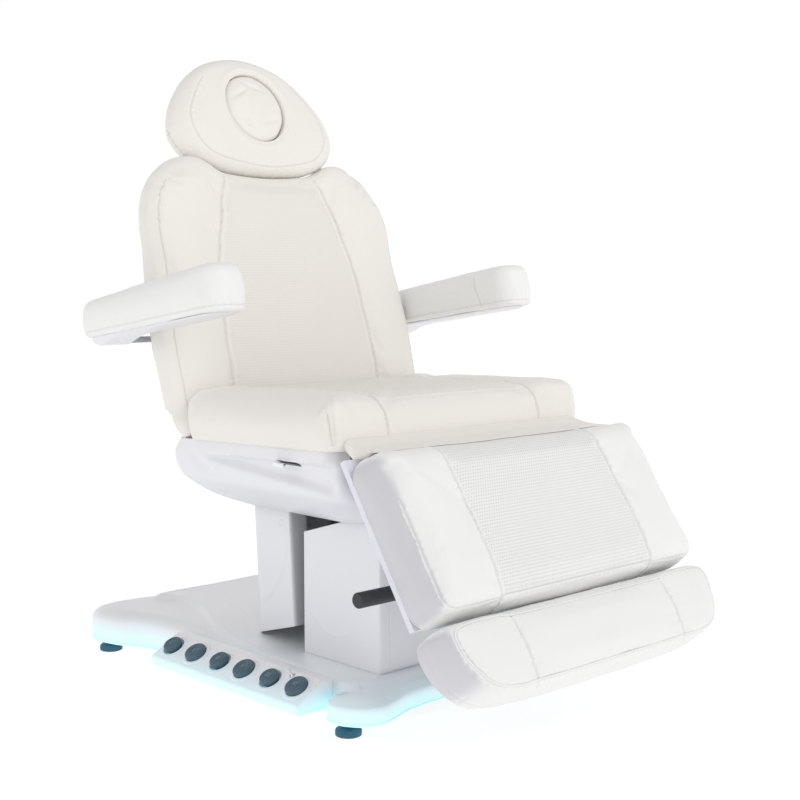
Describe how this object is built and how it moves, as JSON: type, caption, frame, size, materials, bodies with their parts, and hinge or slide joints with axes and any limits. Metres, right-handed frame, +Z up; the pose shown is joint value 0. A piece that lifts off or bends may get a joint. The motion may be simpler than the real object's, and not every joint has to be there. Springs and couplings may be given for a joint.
{
  "type": "facial treatment bed",
  "caption": "Reclining treatment bed with a motorised lifting base, foot buttons, swinging armrests, a leg rest with a sliding foot pad, and a headrest with a breathing hole.",
  "frame": {"origin": "on the floor, under the middle of the bed's box at rest", "axes": "+Z up, +Y towards the head end, -Y towards the foot end, +X towards the occupant's left"},
  "size_m": [0.914, 1.2514, 1.3358],
  "materials": {
    "upholstery": "matte",
    "white_plastic": "satin",
    "painted_steel": "satin",
    "chrome": "polished",
    "rubber": "matte",
    "button_blue": "satin",
    "motor_black": "matte",
    "led": "glowing",
    "board": "painted"
  },
  "bodies": {
    "base": {"base_cross_beam_front": "painted_steel", "base_cross_beam_rear": "painted_steel", "base_spine": "painted_steel", "base_cover": "white_plastic", "led_strip": "led", "foot_control_bar": "white_plastic", "power_inlet": "motor_black", "lift_column_outer": "painted_steel", "lift_motor": "motor_black", "control_box": "motor_black", "front_column_cover": "white_plastic"},
    "foot_front_right": {"levelling_foot_front_right": "rubber"},
    "foot_front_left": {"levelling_foot_front_left": "rubber"},
    "foot_rear_right": {"levelling_foot_rear_right": "rubber"},
    "foot_rear_left": {"levelling_foot_rear_left": "rubber"},
    "button_1": {"foot_button_1": "button_blue"},
    "button_2": {"foot_button_2": "button_blue"},
    "button_3": {"foot_button_3": "button_blue"},
    "button_4": {"foot_button_4": "button_blue"},
    "button_5": {"foot_button_5": "button_blue"},
    "button_6": {"foot_button_6": "button_blue"},
    "light_switch": {"light_switch_toggle": "chrome"},
    "middle_column": {"lift_column_middle": "painted_steel"},
    "lift": {"lift_column_inner": "painted_steel", "lift_carriage": "painted_steel", "tilt_pin": "painted_steel", "tilt_actuator_body": "motor_black"},
    "seat": {"seat_frame": "painted_steel", "back_hinge_pin": "painted_steel", "leg_hinge_pin": "painted_steel", "seat_pan": "white_plastic", "seat_cushion": "upholstery", "rear_column_cover": "white_plastic", "back_actuator_body": "motor_black"},
    "tilt_rod": {"tilt_actuator_rod": "chrome"},
    "back_rod": {"back_actuator_rod": "chrome"},
    "release_lever": {"release_lever": "chrome"},
    "backrest": {"back_cushion": "upholstery", "back_board": "white_plastic", "back_frame": "painted_steel", "headrest_guide": "white_plastic", "arm_bracket_right": "painted_steel", "arm_bracket_left": "painted_steel"},
    "headrest_fork": {"headrest_fork": "chrome"},
    "headrest": {"headrest_cushion": "upholstery", "headrest_board": "white_plastic"},
    "plug": {"face_hole_plug": "upholstery"},
    "armrest_right": {"armrest_tray_right": "white_plastic", "armrest_pad_right": "upholstery"},
    "armrest_left": {"armrest_tray_left": "white_plastic", "armrest_pad_left": "upholstery"},
    "leg_rest": {"leg_board": "board", "leg_cushion": "upholstery", "leg_frame": "painted_steel", "leg_grip": "rubber", "gap_flap": "upholstery"},
    "foot_pad": {"foot_cushion": "upholstery", "foot_board": "board", "foot_slide": "painted_steel"},
    "foot_knob": {"foot_knob": "rubber"}
  },
  "joints": [
    {"name": "foot_front_right_turn", "type": "hinge", "parent": "base", "child": "foot_front_right", "pos_m": [-0.305, -0.24426, 0], "axis": [0, 0, 1], "continuous": true},
    {"name": "foot_front_left_turn", "type": "hinge", "parent": "base", "child": "foot_front_left", "pos_m": [0.305, -0.24426, 0], "axis": [0, 0, 1], "continuous": true},
    {"name": "foot_rear_right_turn", "type": "hinge", "parent": "base", "child": "foot_rear_right", "pos_m": [-0.305, 0.56374, 0], "axis": [0, 0, 1], "continuous": true},
    {"name": "foot_rear_left_turn", "type": "hinge", "parent": "base", "child": "foot_rear_left", "pos_m": [0.305, 0.56374, 0], "axis": [0, 0, 1], "continuous": true},
    {"name": "button_1_press", "type": "slide", "parent": "base", "child": "button_1", "axis": [0.5, 0, -0.866], "range_m": [0, 0.005], "stiffness_N_per_m": 400, "springref_m": -0.002},
    {"name": "button_2_press", "type": "slide", "parent": "base", "child": "button_2", "axis": [0.5, 0, -0.866], "range_m": [0, 0.005], "stiffness_N_per_m": 400, "springref_m": -0.002},
    {"name": "button_3_press", "type": "slide", "parent": "base", "child": "button_3", "axis": [0.5, 0, -0.866], "range_m": [0, 0.005], "stiffness_N_per_m": 400, "springref_m": -0.002},
    {"name": "button_4_press", "type": "slide", "parent": "base", "child": "button_4", "axis": [0.5, 0, -0.866], "range_m": [0, 0.005], "stiffness_N_per_m": 400, "springref_m": -0.002},
    {"name": "button_5_press", "type": "slide", "parent": "base", "child": "button_5", "axis": [0.5, 0, -0.866], "range_m": [0, 0.005], "stiffness_N_per_m": 400, "springref_m": -0.002},
    {"name": "button_6_press", "type": "slide", "parent": "base", "child": "button_6", "axis": [0.5, 0, -0.866], "range_m": [0, 0.005], "stiffness_N_per_m": 400, "springref_m": -0.002},
    {"name": "light_switch_flip", "type": "hinge", "parent": "base", "child": "light_switch", "pos_m": [-0.33121, -0.11426, 0.09], "axis": [0, 1, 0], "range_deg": [-12, 12]},
    {"name": "lift_middle", "type": "slide", "parent": "base", "child": "middle_column", "axis": [0, 0, 1], "range_m": [0, 0.14]},
    {"name": "lift_inner", "type": "slide", "parent": "middle_column", "child": "lift", "axis": [0, 0, 1], "range_m": [0, 0.14]},
    {"name": "seat_tilt", "type": "hinge", "parent": "lift", "child": "seat", "pos_m": [0, 0.13374, 0.42], "axis": [-1, 0, 0], "range_deg": [0, 10]},
    {"name": "tilt_rod_travel", "type": "slide", "parent": "lift", "child": "tilt_rod", "axis": [0, 1, 0], "range_m": [-0.0232, 0]},
    {"name": "back_recline", "type": "hinge", "parent": "seat", "child": "backrest", "pos_m": [0, 0.27374, 0.515], "axis": [-1, 0, 0], "range_deg": [0, 74]},
    {"name": "back_rod_travel", "type": "slide", "parent": "seat", "child": "back_rod", "axis": [0, 1, 0], "range_m": [-0.0905, 0]},
    {"name": "release_lever_turn", "type": "hinge", "parent": "seat", "child": "release_lever", "pos_m": [-0.318, -0.08626, 0.493], "axis": [0, 0, -1], "range_deg": [0, 14], "stiffness_Nm_per_rad": 1.5, "springref_deg": -5.73},
    {"name": "leg_rest_raise", "type": "hinge", "parent": "seat", "child": "leg_rest", "pos_m": [0, -0.28326, 0.49], "axis": [-1, 0, 0], "range_deg": [0, 57], "deforming": ["gap_flap"]},
    {"name": "foot_pad_slide", "type": "slide", "parent": "leg_rest", "child": "foot_pad", "axis": [0, -0.5446, -0.8387], "range_m": [0, 0.08]},
    {"name": "foot_knob_turn", "type": "hinge", "parent": "foot_pad", "child": "foot_knob", "pos_m": [0, -0.51251, 0.12561], "axis": [0, 0.8387, -0.5446], "continuous": true},
    {"name": "headrest_height", "type": "slide", "parent": "backrest", "child": "headrest_fork", "axis": [0, 0.2672, 0.9636], "range_m": [0, 0.1]},
    {"name": "headrest_tilt", "type": "hinge", "parent": "headrest_fork", "child": "headrest", "pos_m": [0, 0.47992, 1.09125], "axis": [1, 0, 0], "range_deg": [-30, 5]},
    {"name": "plug_pull", "type": "slide", "parent": "headrest", "child": "plug", "axis": [0, -0.9304, 0.3665], "range_m": [0, 0.1]},
    {"name": "armrest_right_raise", "type": "hinge", "parent": "backrest", "child": "armrest_right", "pos_m": [-0.4, 0.36074, 0.7], "axis": [-1, 0, 0], "range_deg": [0, 85]},
    {"name": "armrest_left_raise", "type": "hinge", "parent": "backrest", "child": "armrest_left", "pos_m": [0.4, 0.36074, 0.7], "axis": [-1, 0, 0], "range_deg": [0, 85]}
  ],
  "couplings": [
    {"joint": "lift_inner", "follows": "lift_middle", "ratio": 1},
    {"joint": "tilt_rod_travel", "follows": "seat_tilt", "m_per_rad": -0.12934},
    {"joint": "back_rod_travel", "follows": "back_recline", "m_per_rad": -0.06989}
  ]
}
